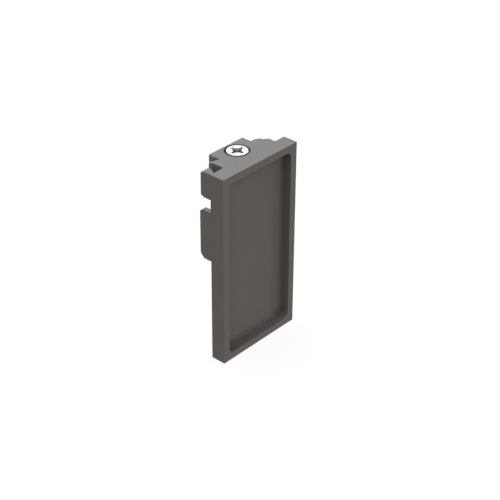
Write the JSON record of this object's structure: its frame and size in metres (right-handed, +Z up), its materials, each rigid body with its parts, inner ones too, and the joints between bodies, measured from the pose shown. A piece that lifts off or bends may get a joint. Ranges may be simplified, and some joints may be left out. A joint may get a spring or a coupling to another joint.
{
  "type": "profile end cap",
  "caption": "Rectangular end cap for an extruded profile: recessed front plate, rear guide body with a countersunk clamping screw, and side lips that grip the profile wall.",
  "frame": {"origin": "centre of the plate's flat back face, which seats on the cut end of the profile", "axes": "+X across the plate, to the right seen from the front; +Y along the profile, away from the front; +Z up, towards the edge with the clamping screw"},
  "size_m": [0.026, 0.0112, 0.052],
  "materials": {
    "cap": "matt, very fine moulded grain, dark warm grey",
    "screw": "bright zinc-plated steel, smooth flat head"
  },
  "bodies": {
    "root": {"cap_body": "cap", "clamp_screw": "screw"}
  },
  "joints": []
}
